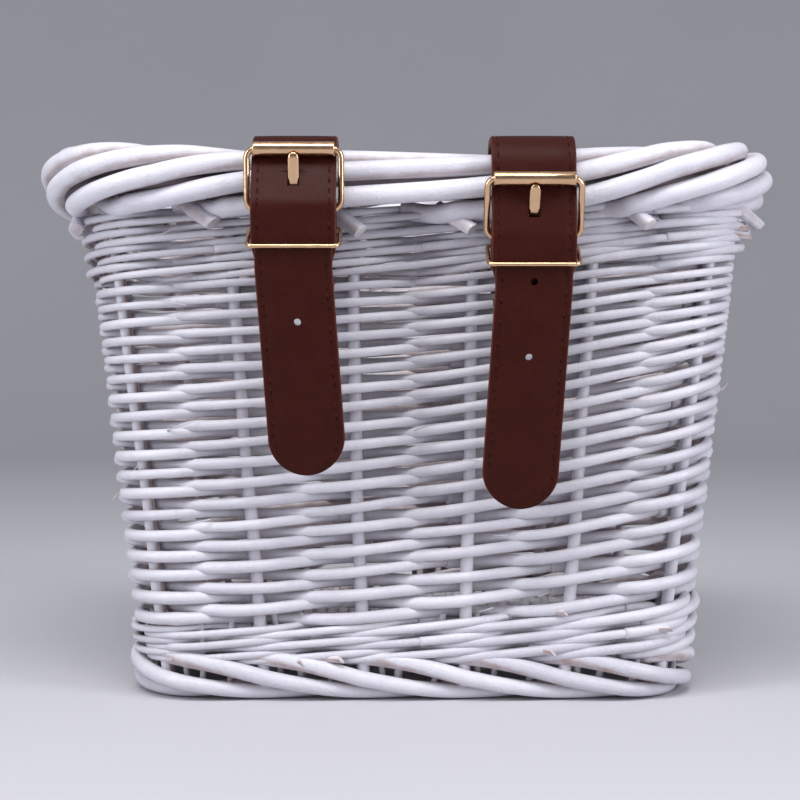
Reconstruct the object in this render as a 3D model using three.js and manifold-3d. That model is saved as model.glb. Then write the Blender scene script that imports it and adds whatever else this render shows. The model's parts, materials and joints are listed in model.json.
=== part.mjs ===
// Handlebar basket: a tapered willow basket with a flat back, held by two buckled straps.
// Millimetres, +Z up. The straps are on the -Y side, which faces the rider, and +X is the
// rider's right. The basket stands on the plane z = 0, and its box is centred on the Z axis.
import * as THREE from "three";
import { mergeVertices } from "three/addons/utils/BufferGeometryUtils.js";
import Module from "manifold-3d";

const wasm = await Module();
wasm.setup();

// ---- Driving dimensions ----

// The wall, on the line through the middle of its weave. It has a flat back with small
// corners and a front with large ones, and it narrows in a straight line to the foot.
const HEIGHT = 198;
const TOP_WIDTH = 236;
const TOP_DEPTH = 152;
const FOOT_WIDTH = 196;
const FOOT_DEPTH = 128;
const BACK_CORNER = 30;
const FRONT_CORNER = 68;
const WEAVE_THICKNESS = 11;

// The bands of the wall, from the top down. The siding fills what the others leave.
const RIM_HEIGHT = 26;
const RIM_WIDTH = 25;
const RIM_OVERHANG = 12.5;
const RIM_ROUNDING = 9;
const TOP_WALE_HEIGHT = 17.5;
const BOTTOM_WALE_HEIGHT = 14;
const BARE_STAKE_GAP = 3;
const FOOT_BORDER_HEIGHT = 13;
const FOOT_BORDER_WIDTH = 13;
const FOOT_ROUNDING = 3;

const STAKE_COUNT = 16;
const STAKE_DIAMETER = 4;
const STAKE_IN_RIM = 10;
const STAKE_IN_FOOT = 7;

const FLOOR_THICKNESS = 8;
const FLOOR_ABOVE_WALE_FOOT = 2;
const FLOOR_STICK_COUNT = 5;
const FLOOR_STICK_PITCH = 18;
const FLOOR_STICK_DIAMETER = 5;

// The straps and their fittings.
const STRAP_WIDTH = 29;
const STRAP_THICKNESS = 2.8;
const STRAP_TIP_WIDTH = 26.5;
const STRAP_CENTRE = 41;
const TAIL_INWARD = 4;
const STRAP_LEAN = THREE.MathUtils.degToRad(6);
const STRAP_FOLD = 12;
const STRAP_CREASE = 3.4;
const STRAP_BEND = 7;
const HOLE_DIAMETER = 2.4;
const HOLE_FROM_TIP = 53;
const HOLE_PITCH = 26;

const BUCKLE_BAR = 2.2;
const BUCKLE_REACH = 20.5;
const BUCKLE_CORNER = 3;
const ROLLER_DIAMETER = 5;
const ROLLER_WALL = 1;
const PRONG_WIDTH = 3.6;
const PRONG_THICKNESS = 1.6;
const PRONG_EYE_WALL = 1.1;
const PRONG_SHORT_OF_ROLLER = 1.2;
const PRONG_SWING = THREE.MathUtils.degToRad(10);
const KEEPER_WIRE = 1.5;
const KEEPER_CORNER = 1.6;
const KEEPER_RISE = 5.5;

// How each strap is drawn through: the pivot bar's place against the rim, how far down the
// strap runs behind its tail before it turns into the wall, where its keeper sits, and how
// far below the pivot its tip hangs.
const STRAPS = [
  { name: "left", side: -1, pivotDrop: 23, standOff: -1.2, run: 18, keeper: 12, tip: 91 },
  { name: "right", side: 1, pivotDrop: 32, standOff: -4.7, run: 16, keeper: 9, tip: 94 },
];

// ---- Clearances ----
const TOUCH = 0.3;
const SLOT_CLEARANCE = 0.5;
const RIM_CLEARANCE = 0.4;
const BAR_CLEARANCE = 0.3;
const SIDE_CLEARANCE = 0.5;
const KEEPER_CLEARANCE = 0.35;
const HINGE_BELOW_KEEPER = 8;

// ---- Facets ----
const OUTLINE_SEGMENTS = 64;
const RIM_FACETS = 3;
const ROD_SIDES = 8;
const ARC_STEP = THREE.MathUtils.degToRad(12);

// ---- Heights that follow ----
const RIM_BOTTOM = HEIGHT - RIM_HEIGHT;
const TOP_WALE = [RIM_BOTTOM - TOUCH - TOP_WALE_HEIGHT, RIM_BOTTOM - TOUCH];
const BOTTOM_WALE_FOOT = FOOT_BORDER_HEIGHT + BARE_STAKE_GAP;
const BOTTOM_WALE = [BOTTOM_WALE_FOOT, BOTTOM_WALE_FOOT + BOTTOM_WALE_HEIGHT];
const SIDING = [BOTTOM_WALE[1] + TOUCH, TOP_WALE[0] - TOUCH];
const FLOOR_BOTTOM = BOTTOM_WALE_FOOT + FLOOR_ABOVE_WALE_FOOT;
const RIM_OUTER = WEAVE_THICKNESS / 2 + RIM_OVERHANG;
const RIM_INNER = RIM_OUTER - RIM_WIDTH;

const FINISHES = {
  willow: { color: 0xd6d5de, roughness: 0.55, metalness: 0 },
  thickWillow: { color: 0xe2e1e8, roughness: 0.45, metalness: 0 },
  leather: { color: 0x5a2518, roughness: 0.5, metalness: 0 },
  gold: { color: 0xc79a7b, roughness: 0.25, metalness: 1 },
};

// ---- Solids ----

function pieceOf(name, geometry, finish) {
  const piece = new THREE.Mesh(geometry, new THREE.MeshStandardMaterial(FINISHES[finish]));
  piece.name = name;
  return piece;
}

function solidOf(geometry) {
  const bare = geometry.clone();
  bare.deleteAttribute("normal");
  bare.deleteAttribute("uv");
  const merged = mergeVertices(bare, 1e-4);
  return new wasm.Manifold(
    new wasm.Mesh({
      numProp: 3,
      vertProperties: new Float32Array(merged.attributes.position.array),
      triVerts: new Uint32Array(merged.index.array),
    }),
  );
}

function geometryOf(solid) {
  const mesh = solid.getMesh();
  const geometry = new THREE.BufferGeometry();
  geometry.setAttribute("position", new THREE.BufferAttribute(mesh.vertProperties, 3));
  geometry.setIndex(new THREE.BufferAttribute(mesh.triVerts, 1));
  geometry.computeVertexNormals();
  return geometry;
}

// The geometry with every tool cut out of it.
function cut(geometry, tools) {
  const left = tools.reduce((solid, tool) => solid.subtract(solidOf(tool)), solidOf(geometry));
  return geometryOf(left);
}

// ---- The wall's outline and taper ----

// The wall's plan at the rim, moved outwards by offset, from the middle of the back
// anticlockwise.
function wallOutline(offset) {
  const w = TOP_WIDTH / 2 + offset;
  const d = TOP_DEPTH / 2 + offset;
  const back = BACK_CORNER + offset;
  const front = FRONT_CORNER + offset;
  const path = new THREE.Path();
  path.moveTo(0, -d);
  path.lineTo(w - back, -d);
  path.absarc(w - back, back - d, back, -Math.PI / 2, 0, false);
  path.lineTo(w, d - front);
  path.absarc(w - front, d - front, front, 0, Math.PI / 2, false);
  path.lineTo(front - w, d);
  path.absarc(front - w, d - front, front, Math.PI / 2, Math.PI, false);
  path.lineTo(-w, back - d);
  path.absarc(back - w, back - d, back, Math.PI, 1.5 * Math.PI, false);
  path.lineTo(0, -d);
  return path;
}

function outlinePoints(offset) {
  return wallOutline(offset).getSpacedPoints(OUTLINE_SEGMENTS).slice(0, -1);
}

// How much narrower the plan is at a height than at the rim.
function taperAt(z) {
  const t = z / RIM_BOTTOM;
  return {
    x: THREE.MathUtils.lerp(FOOT_WIDTH / TOP_WIDTH, 1, t),
    y: THREE.MathUtils.lerp(FOOT_DEPTH / TOP_DEPTH, 1, t),
  };
}

function tapered(geometry) {
  const position = geometry.attributes.position;
  for (let i = 0; i < position.count; i++) {
    const k = taperAt(position.getZ(i));
    position.setXY(i, position.getX(i) * k.x, position.getY(i) * k.y);
  }
  return geometry;
}

// A ring of wall between two offsets and two heights, with its edges rounded in facets.
function wallRing(inner, outer, bottom, top, rounding, facets) {
  const shape = new THREE.Shape(outlinePoints(outer - rounding));
  shape.holes.push(new THREE.Path(outlinePoints(inner + rounding)));
  const geometry = new THREE.ExtrudeGeometry(shape, {
    depth: top - bottom - 2 * rounding,
    bevelEnabled: rounding > 0,
    bevelSize: rounding,
    bevelThickness: rounding,
    bevelSegments: facets,
  });
  return geometry.translate(0, 0, bottom + rounding);
}

// Distance out from the middle to the back wall's face, at an offset and a height.
function backFace(offset, z) {
  return (TOP_DEPTH / 2 + offset) * taperAt(z).y;
}

// ---- Rods ----

function rodBetween(from, to, diameter) {
  const rod = new THREE.CylinderGeometry(
    diameter / 2, diameter / 2, from.distanceTo(to), ROD_SIDES);
  const turn = new THREE.Quaternion().setFromUnitVectors(
    new THREE.Vector3(0, 1, 0), to.clone().sub(from).normalize());
  const middle = from.clone().lerp(to, 0.5);
  return { rod, turn, middle };
}

function rodPiece(name, from, to, diameter, finish) {
  const { rod, turn, middle } = rodBetween(from, to, diameter);
  const piece = pieceOf(name, rod, finish);
  piece.quaternion.copy(turn);
  piece.position.copy(middle);
  return piece;
}

// The channel that a rod runs in, longer than the rod by the clearance at each end.
function rodChannel(from, to, diameter) {
  const reach = to.clone().sub(from).setLength(TOUCH);
  const { rod, turn, middle } = rodBetween(
    from.clone().sub(reach), to.clone().add(reach), diameter + 2 * TOUCH);
  return rod.applyQuaternion(turn).translate(middle.x, middle.y, middle.z);
}

function stakeEnds(i) {
  const plan = wallOutline(0).getPointAt((i + 0.5) / STAKE_COUNT);
  return [FOOT_BORDER_HEIGHT - STAKE_IN_FOOT, RIM_BOTTOM + STAKE_IN_RIM].map((z) => {
    const k = taperAt(z);
    return new THREE.Vector3(plan.x * k.x, plan.y * k.y, z);
  });
}

// Half the wall's width at a depth y, on the line through the middle of the weave.
function halfWidthAt(y, z) {
  const k = taperAt(z);
  const points = wallOutline(0).getSpacedPoints(OUTLINE_SEGMENTS * 4);
  const right = points.filter((p) => p.x > 0);
  const nearest = right.reduce((a, b) =>
    Math.abs(b.y * k.y - y) < Math.abs(a.y * k.y - y) ? b : a);
  return nearest.x * k.x;
}

// A floor stick's ends lie in the bottom wale and stop short of the stakes.
function floorStickEnds(i) {
  const y = (i - (FLOOR_STICK_COUNT - 1) / 2) * FLOOR_STICK_PITCH;
  const z = FLOOR_BOTTOM + FLOOR_THICKNESS / 2;
  const reach = halfWidthAt(y, z) - STAKE_DIAMETER / 2 - 2 * TOUCH;
  return [new THREE.Vector3(-reach, y, z), new THREE.Vector3(reach, y, z)];
}

const range = (count) => [...Array(count).keys()];

// ---- The straps' route ----
// Worked out in a plane seen from the basket's right: x is the distance out from the
// basket's middle towards the rider, and y is the height. The strap always turns clockwise.

const leftOf = (heading) => new THREE.Vector2(-Math.sin(heading), Math.cos(heading));
const along = (heading) => new THREE.Vector2(Math.cos(heading), Math.sin(heading));

// A belt round circles, clockwise: a list of points on it, each with its heading. A circle
// of no radius is where the belt starts or ends.
function belt(circles) {
  const headings = circles.slice(1).map((next, i) => {
    const here = circles[i];
    const between = next.at.clone().sub(here.at);
    return between.angle() - Math.asin((here.radius - next.radius) / between.length());
  });
  const stations = [];
  circles.forEach(({ at, radius }, i) => {
    const into = headings[Math.max(i - 1, 0)];
    const out = headings[Math.min(i, headings.length - 1)];
    const sweep = THREE.MathUtils.euclideanModulo(into - out, 2 * Math.PI);
    const steps = radius > 0 ? Math.ceil(sweep / ARC_STEP) : 0;
    range(steps + 1).forEach((step) => {
      const heading = into - (steps ? (sweep * step) / steps : 0);
      const point = at.clone().addScaledVector(leftOf(heading), radius);
      stations.push({ point, heading, circle: i });
    });
  });
  return stations;
}

function routeOf(strap) {
  const half = STRAP_THICKNESS / 2;
  const heading = -Math.PI / 2 - STRAP_LEAN;
  const wrap = BUCKLE_BAR / 2 + BAR_CLEARANCE + half;
  const over = wrap + STRAP_THICKNESS + TOUCH;
  const rimBack = backFace(RIM_OUTER, RIM_BOTTOM);
  const out = rimBack + strap.standOff + half + wrap;
  const pivot = new THREE.Vector2(out, HEIGHT - strap.pivotDrop);
  const from = (distance, out) =>
    pivot.clone().addScaledVector(along(heading), distance).addScaledVector(leftOf(heading), out);
  const turn = from(strap.run, wrap - STRAP_BEND);
  const slot = turn.y - STRAP_BEND;
  // Inside, the strap goes straight up from clear of the wall, or of the rim where that
  // reaches further in.
  const inside = Math.min(
    backFace(-WEAVE_THICKNESS / 2, slot) - SLOT_CLEARANCE,
    rimBack - RIM_WIDTH - RIM_CLEARANCE - half + STRAP_CREASE);
  const rimTurn = RIM_ROUNDING + RIM_CLEARANCE + half;
  const rimLevel = HEIGHT - RIM_ROUNDING;
  const hinge = strap.keeper + HINGE_BELOW_KEEPER;
  const stations = belt([
    { at: from(STRAP_FOLD, -wrap), radius: 0 },
    { at: pivot, radius: wrap },
    { at: turn, radius: STRAP_BEND },
    { at: new THREE.Vector2(inside, slot + STRAP_CREASE), radius: STRAP_CREASE },
    { at: new THREE.Vector2(rimBack - RIM_WIDTH + RIM_ROUNDING, rimLevel), radius: rimTurn },
    { at: new THREE.Vector2(rimBack - RIM_ROUNDING, rimLevel), radius: rimTurn },
    { at: pivot, radius: over },
    { at: from(hinge - TOUCH / 2, over), radius: 0 },
  ]);
  return { heading, wrap, over, pivot, from, slot, hinge, stations };
}

// The roller's axis: as far from the pivot as the buckle reaches, with the roller resting
// on the strap's outer face between the rim and the pivot.
function rollerAxis(route) {
  const lift = STRAP_THICKNESS / 2 + TOUCH + ROLLER_DIAMETER / 2;
  const axes = route.stations
    .filter(({ circle }) => circle === 5 || circle === 6)
    .map(({ point, heading }) => point.clone().addScaledVector(leftOf(heading), lift));
  const beyond = (axis) => axis.distanceTo(route.pivot) - BUCKLE_REACH;
  const last = axes.findIndex((axis, i) => beyond(axis) >= 0 && beyond(axes[i + 1]) < 0);
  const [far, near] = [axes[last], axes[last + 1]];
  let low = 0;
  let high = 1;
  range(30).forEach(() => {
    const middle = (low + high) / 2;
    if (beyond(far.clone().lerp(near, middle)) > 0) low = middle;
    else high = middle;
  });
  return far.clone().lerp(near, low);
}

// ---- Pieces of a strap, in the route's plane with z across the strap ----

function extrudedAcross(shape, width) {
  return new THREE.ExtrudeGeometry(shape, { depth: width, bevelEnabled: false, curveSegments: 6 })
    .translate(0, 0, -width / 2);
}

function discTool(at, diameter, length) {
  return new THREE.CylinderGeometry(diameter / 2, diameter / 2, length, 12)
    .rotateX(Math.PI / 2)
    .translate(at.x, at.y, 0);
}

// A round hole punched through a layer of the strap, square to its heading.
function punch(at, heading) {
  return new THREE.CylinderGeometry(
    HOLE_DIAMETER / 2, HOLE_DIAMETER / 2, STRAP_THICKNESS + 2 * TOUCH, 12)
    .rotateZ(heading)
    .translate(at.x, at.y, 0);
}

// The rounded rectangle, of a bar bent into a ring: the bar's middle line is wide across
// the strap and long along the shape's y, from y = 0.
function barRing(wide, long, bar, corner) {
  const outline = (grow, radius) => {
    const x = wide / 2 + grow;
    const low = -grow;
    const high = long + grow;
    const r = Math.max(radius, 0.3);
    const path = new THREE.Shape();
    path.moveTo(-x + r, low);
    path.lineTo(x - r, low);
    path.absarc(x - r, low + r, r, -Math.PI / 2, 0, false);
    path.lineTo(x, high - r);
    path.absarc(x - r, high - r, r, 0, Math.PI / 2, false);
    path.lineTo(-x + r, high);
    path.absarc(-x + r, high - r, r, Math.PI / 2, Math.PI, false);
    path.lineTo(-x, low + r);
    path.absarc(-x + r, low + r, r, Math.PI, 1.5 * Math.PI, false);
    return path;
  };
  const bevel = bar * 0.28;
  const grow = bar / 2 - bevel;
  const shape = outline(grow, corner - bevel);
  shape.holes.push(outline(-grow, corner - bar + bevel));
  return new THREE.ExtrudeGeometry(shape, {
    depth: bar - 2 * bevel,
    bevelEnabled: true,
    bevelSize: bevel,
    bevelThickness: bevel,
    bevelSegments: 1,
    curveSegments: 3,
  })
    .translate(0, 0, bevel - bar / 2)
    .rotateY(Math.PI / 2);
}

// The prong lies out from the frame, over the roller. Its eye goes round the pivot bar.
const PRONG_TIP_OUT = ROLLER_DIAMETER / 2 + TOUCH + PRONG_THICKNESS / 2;
const PRONG_ANGLE = -Math.atan2(PRONG_TIP_OUT, BUCKLE_REACH);
const PRONG_BORE = BUCKLE_BAR / 2 + BAR_CLEARANCE + 0.1;
const PRONG_EYE = PRONG_BORE + PRONG_EYE_WALL;

function prongGeometry() {
  const half = PRONG_THICKNESS / 2;
  const length = Math.hypot(PRONG_TIP_OUT, BUCKLE_REACH) - PRONG_SHORT_OF_ROLLER;
  const root = Math.asin(half / PRONG_EYE);
  const shape = new THREE.Shape();
  shape.moveTo(half, PRONG_EYE * Math.cos(root));
  shape.lineTo(half, length - half);
  shape.absarc(0, length - half, half, 0, Math.PI, false);
  shape.lineTo(-half, PRONG_EYE * Math.cos(root));
  shape.absarc(0, 0, PRONG_EYE, Math.PI / 2 + root, 2.5 * Math.PI - root, false);
  const bore = new THREE.Path();
  bore.absarc(0, 0, PRONG_BORE, 0, 2 * Math.PI, true);
  shape.holes.push(bore);
  return extrudedAcross(shape, PRONG_WIDTH);
}

// The slot that the prong needs in the strap, from its rest to the end of its swing.
function prongSlot() {
  const gap = PRONG_THICKNESS / 2 + SLOT_CLEARANCE;
  const corner = (swing, distance, out) =>
    new THREE.Vector2(out, distance).rotateAround(new THREE.Vector2(), PRONG_ANGLE - swing);
  const near = PRONG_EYE;
  const far = BUCKLE_REACH - ROLLER_DIAMETER / 2;
  const shape = new THREE.Shape([
    corner(PRONG_SWING, near, gap),
    corner(PRONG_SWING, far, gap),
    corner(0, far, -gap),
    corner(0, near, -gap),
  ]);
  return extrudedAcross(shape, PRONG_WIDTH + 2 * SLOT_CLEARANCE);
}

function strapLoop(strap, route, buckleMatrix) {
  const half = STRAP_THICKNESS / 2;
  const side = (out) =>
    route.stations.map(({ point, heading }) =>
      point.clone().addScaledVector(leftOf(heading), out));
  const ribbon = extrudedAcross(
    new THREE.Shape([...side(-half), ...side(half).reverse()]), STRAP_WIDTH);
  const eyeSlot = discTool(
    route.pivot, 2 * (route.wrap + half + TOUCH / 2), PRONG_WIDTH + 2 * SLOT_CLEARANCE);
  const hole = strap.tip - HOLE_FROM_TIP - HOLE_PITCH;
  return cut(ribbon, [
    prongSlot().applyMatrix4(buckleMatrix),
    eyeSlot,
    punch(route.from(hole, route.over), route.heading),
  ]);
}

// The free end, from the hinge line down: it narrows to a round tip, which hangs to one
// side of where it starts.
function strapTail(length, aside) {
  const top = STRAP_WIDTH / 2;
  const tip = STRAP_TIP_WIDTH / 2;
  const shape = new THREE.Shape();
  shape.moveTo(top, -TOUCH / 2);
  shape.lineTo(-top, -TOUCH / 2);
  shape.lineTo(aside - tip, tip - length);
  shape.absarc(aside, tip - length, tip, Math.PI, 2 * Math.PI, false);
  const holeDown = length - HOLE_FROM_TIP;
  const hole = new THREE.Path();
  hole.absarc((aside * holeDown) / length, -holeDown, HOLE_DIAMETER / 2, 0, 2 * Math.PI, true);
  shape.holes.push(hole);
  return extrudedAcross(shape, STRAP_THICKNESS).rotateY(Math.PI / 2);
}

function rollerGeometry() {
  const outer = ROLLER_DIAMETER / 2;
  const inner = outer - ROLLER_WALL;
  const half = STRAP_WIDTH / 2 - SIDE_CLEARANCE;
  const profile = [
    new THREE.Vector2(inner, -half),
    new THREE.Vector2(outer, -half),
    new THREE.Vector2(outer, half),
    new THREE.Vector2(inner, half),
    new THREE.Vector2(inner, -half),
  ];
  return new THREE.LatheGeometry(profile, 16).rotateX(Math.PI / 2);
}

function strapGroup(strap, centre) {
  const route = routeOf(strap);
  const roller = rollerAxis(route);
  const group = new THREE.Group();
  group.position.x = centre;
  group.quaternion.setFromRotationMatrix(
    new THREE.Matrix4().makeBasis(
      new THREE.Vector3(0, -1, 0), new THREE.Vector3(0, 0, 1), new THREE.Vector3(-1, 0, 0)));

  const buckle = new THREE.Group();
  buckle.position.set(route.pivot.x, route.pivot.y, 0);
  buckle.rotation.z = roller.clone().sub(route.pivot).angle() - Math.PI / 2;
  buckle.updateMatrix();
  const inside = STRAP_WIDTH + 2 * SIDE_CLEARANCE;
  const frame = pieceOf(
    strap.name + "_buckle_frame",
    barRing(inside + BUCKLE_BAR, BUCKLE_REACH, BUCKLE_BAR, BUCKLE_CORNER),
    "gold");
  const sleeve = pieceOf(strap.name + "_buckle_roller", rollerGeometry(), "gold");
  sleeve.position.y = BUCKLE_REACH;
  const prong = pieceOf(strap.name + "_buckle_prong", prongGeometry(), "gold");
  prong.rotation.z = PRONG_ANGLE;
  buckle.add(frame, sleeve, prong);

  const loop = pieceOf(strap.name + "_strap", strapLoop(strap, route, buckle.matrix), "leather");

  const tail = pieceOf(
    strap.name + "_strap_tail",
    strapTail(strap.tip - route.hinge, -strap.side * TAIL_INWARD),
    "leather");
  const hinge = route.from(route.hinge, route.over);
  tail.position.set(hinge.x, hinge.y, 0);
  tail.rotation.z = -STRAP_LEAN;

  const off = STRAP_THICKNESS / 2 + KEEPER_CLEARANCE + KEEPER_WIRE / 2;
  const front = route.from(strap.keeper, route.over + off);
  const back = route.from(strap.keeper - KEEPER_RISE, -route.wrap - off);
  const keeper = pieceOf(
    strap.name + "_strap_keeper",
    barRing(
      STRAP_WIDTH + 2 * KEEPER_CLEARANCE + KEEPER_WIRE,
      front.distanceTo(back), KEEPER_WIRE, KEEPER_CORNER),
    "gold");
  keeper.position.set(back.x, back.y, 0);
  keeper.rotation.z = front.clone().sub(back).angle() - Math.PI / 2;

  group.add(loop, tail, buckle, keeper);
  return group;
}

// The way through the wall for a strap.
function wallSlot(strap, centre) {
  const slot = routeOf(strap).slot;
  return new THREE.BoxGeometry(
    STRAP_WIDTH + 2 * SLOT_CLEARANCE,
    WEAVE_THICKNESS * 2,
    STRAP_THICKNESS + 2 * SLOT_CLEARANCE)
    .translate(centre, -backFace(0, slot), slot);
}

// ---- The basket ----

const half = WEAVE_THICKNESS / 2;
const stakes = range(STAKE_COUNT).map(stakeEnds);
const floorSticks = range(FLOOR_STICK_COUNT).map(floorStickEnds);
const stakeChannels = stakes.map(([from, to]) => rodChannel(from, to, STAKE_DIAMETER));
const stickChannels = floorSticks.map(([from, to]) => rodChannel(from, to, FLOOR_STICK_DIAMETER));

// Each strap goes through the wall between the first and second stakes from the middle of
// the back.
const wallSlots = STRAPS.map((strap) => wallSlot(strap, strap.side * STRAP_CENTRE));

const floorOutline = new THREE.Shape(outlinePoints(-half - TOUCH - 0.2));
const floorPlate = new THREE.ExtrudeGeometry(floorOutline, {
  depth: FLOOR_THICKNESS,
  bevelEnabled: false,
}).translate(0, 0, FLOOR_BOTTOM);

const basket = new THREE.Group();
basket.add(
  pieceOf(
    "rim_border",
    cut(
      wallRing(RIM_INNER, RIM_OUTER, RIM_BOTTOM, HEIGHT, RIM_ROUNDING, RIM_FACETS),
      stakeChannels),
    "thickWillow"),
  pieceOf(
    "top_wale",
    cut(tapered(wallRing(-half, half, ...TOP_WALE, 0, 1)), stakeChannels),
    "willow"),
  pieceOf(
    "siding_weave",
    cut(tapered(wallRing(-half, half, ...SIDING, 0, 1)), [...stakeChannels, ...wallSlots]),
    "willow"),
  pieceOf(
    "bottom_wale",
    cut(tapered(wallRing(-half, half, ...BOTTOM_WALE, 0, 1)), [...stakeChannels, ...stickChannels]),
    "willow"),
  pieceOf(
    "foot_border",
    cut(
      tapered(wallRing(
        -FOOT_BORDER_WIDTH / 2, FOOT_BORDER_WIDTH / 2, 0, FOOT_BORDER_HEIGHT, FOOT_ROUNDING, 1)),
      stakeChannels),
    "thickWillow"),
  pieceOf("floor_weave", cut(tapered(floorPlate), stickChannels), "willow"),
);
stakes.forEach(([from, to], i) => {
  const name = "stake_" + String(i + 1).padStart(2, "0");
  basket.add(rodPiece(name, from, to, STAKE_DIAMETER, "willow"));
});
floorSticks.forEach(([from, to], i) => {
  basket.add(rodPiece("floor_stick_" + (i + 1), from, to, FLOOR_STICK_DIAMETER, "willow"));
});
STRAPS.forEach((strap) => basket.add(strapGroup(strap, strap.side * STRAP_CENTRE)));

// The straps stand out at the back, so the whole is moved to centre its box on the Z axis.
const box = new THREE.Box3().setFromObject(basket, true);
basket.position.y = -(box.min.y + box.max.y) / 2;

export default basket;
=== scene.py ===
"""A painted willow handlebar basket with two buckled leather straps.

Every rod of the weave is its own tube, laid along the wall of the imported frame. Lengths are
in millimetres until a mesh is made. The straps are on the -Y side, which faces the rider.
"""

import json
import math

import bmesh
import bpy
import numpy as np
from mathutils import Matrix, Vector


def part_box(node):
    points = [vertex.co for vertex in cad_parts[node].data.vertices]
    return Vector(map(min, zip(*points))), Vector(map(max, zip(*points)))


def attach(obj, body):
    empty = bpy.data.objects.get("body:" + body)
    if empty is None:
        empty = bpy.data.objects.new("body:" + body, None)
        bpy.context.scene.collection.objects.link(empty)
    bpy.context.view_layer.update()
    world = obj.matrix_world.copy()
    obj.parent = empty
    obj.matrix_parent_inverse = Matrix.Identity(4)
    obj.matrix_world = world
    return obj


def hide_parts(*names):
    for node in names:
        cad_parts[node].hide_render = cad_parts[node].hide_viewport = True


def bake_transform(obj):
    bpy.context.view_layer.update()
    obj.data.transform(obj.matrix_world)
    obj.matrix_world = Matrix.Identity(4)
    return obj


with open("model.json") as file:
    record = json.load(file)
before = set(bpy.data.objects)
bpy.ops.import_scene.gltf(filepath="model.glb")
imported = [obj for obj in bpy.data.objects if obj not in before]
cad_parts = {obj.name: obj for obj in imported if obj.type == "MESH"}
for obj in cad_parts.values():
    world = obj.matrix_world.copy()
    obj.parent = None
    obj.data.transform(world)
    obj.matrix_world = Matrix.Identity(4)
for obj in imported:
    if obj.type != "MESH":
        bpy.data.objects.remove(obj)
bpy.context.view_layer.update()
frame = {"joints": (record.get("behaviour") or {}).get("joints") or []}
chance = np.random.default_rng(11)
MM = 0.001


def low_high(node):
    """A CAD node's lowest and highest corners, in mm."""
    low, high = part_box(node)
    return np.array(low) / MM, np.array(high) / MM


def joint_place(name):
    """The point on a joint's axis, in mm."""
    joint = next(j for j in frame["joints"] if j["name"] == name)
    return np.array(joint["pos_m"]) / MM


# --------------------
# The wall: a flat back with small corners and a front with large ones, narrowing downwards

RIM_WALE_LOW, RIM_WALE_HIGH = low_high("top_wale")
RIM_LOW, RIM_HIGH = low_high("rim_border")
WALL_THICKNESS = 11
HALF_WIDTH = 118
HALF_DEPTH = 76
BACK_CORNER = 30
FRONT_CORNER = 68
RIM_LEVEL = RIM_LOW[2]
FOOT_X = 196 / 236
FOOT_Y = 128 / 152
STAKES = 16
MIDDLE_Y = (RIM_LOW[1] + RIM_HIGH[1]) / 2


def plan_table():
    """Points round the wall's middle line at the rim, from the middle of the back towards +X."""
    corners = [
        (HALF_WIDTH - BACK_CORNER, BACK_CORNER - HALF_DEPTH, BACK_CORNER, -90),
        (HALF_WIDTH - FRONT_CORNER, HALF_DEPTH - FRONT_CORNER, FRONT_CORNER, 0),
        (FRONT_CORNER - HALF_WIDTH, HALF_DEPTH - FRONT_CORNER, FRONT_CORNER, 90),
        (BACK_CORNER - HALF_WIDTH, BACK_CORNER - HALF_DEPTH, BACK_CORNER, 180),
    ]
    points = [(0, -HALF_DEPTH, 0, -1)]
    for x, y, radius, start in corners:
        for degrees in np.linspace(start, start + 90, 46):
            c = math.cos(math.radians(degrees))
            s = math.sin(math.radians(degrees))
            points.append((x + radius * c, y + radius * s, c, s))
    points.append((0, -HALF_DEPTH, 0, -1))
    return np.array(points)


PLAN = plan_table()
PLAN_S = np.concatenate([[0], np.cumsum(np.linalg.norm(np.diff(PLAN[:, :2], axis=0), axis=1))])
PERIMETER = PLAN_S[-1]
BAY = PERIMETER / STAKES


def plan(s):
    """x, y and the outward normal's x and y, s mm round the wall at the rim."""
    s = np.mod(s, PERIMETER)
    return [np.interp(s, PLAN_S, PLAN[:, k]) for k in range(4)]


def wall(s, z, out):
    """Points s mm round the wall, z mm up and out mm outside the middle of the weave."""
    x, y, nx, ny = plan(s)
    kx = FOOT_X + (1 - FOOT_X) * z / RIM_LEVEL
    ky = FOOT_Y + (1 - FOOT_Y) * z / RIM_LEVEL
    return np.stack([x * kx + nx * out, y * ky + MIDDLE_Y + ny * out, z + 0 * x], -1)


def outward(s):
    """The wall's outward direction, s mm round it."""
    x, y, nx, ny = plan(s)
    return np.stack([nx, ny, 0 * nx], -1)


# The rows of the weave climb to the right, and more steeply near the right side. CLIMB is
# the share of the climb at each place across the wall, and CLIMBS are its sizes by height.
CLIMB_ACROSS = [-1, -0.5, 0, 0.45, 0.8, 1]
CLIMB = [-0.5, -0.36, -0.05, 0.4, 1.0, 1.45]
CLIMB_HEIGHTS = [0, 13, 30, 58, 110, 154, 172]
CLIMBS = [0.2, 0.2, 4.5, 10.5, 12.5, 5, 1.5]


def tilted(s, z):
    """Height of a row that would be level at z, on the side of the wall where s lies."""
    share = np.interp(plan(s)[0] / HALF_WIDTH, CLIMB_ACROSS, CLIMB)
    return z + np.interp(z, CLIMB_HEIGHTS, CLIMBS) * share


def wander(s, z, size):
    """A slow unevenness that neighbouring rows share."""
    return size * (
        np.sin(s / 41 + z / 23)
        + 0.6 * np.sin(s / 17.3 - z / 31 + 1)
        + 0.4 * np.sin(s / 88 + z / 9 + 2)
    )


# --------------------
# Meshes


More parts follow.
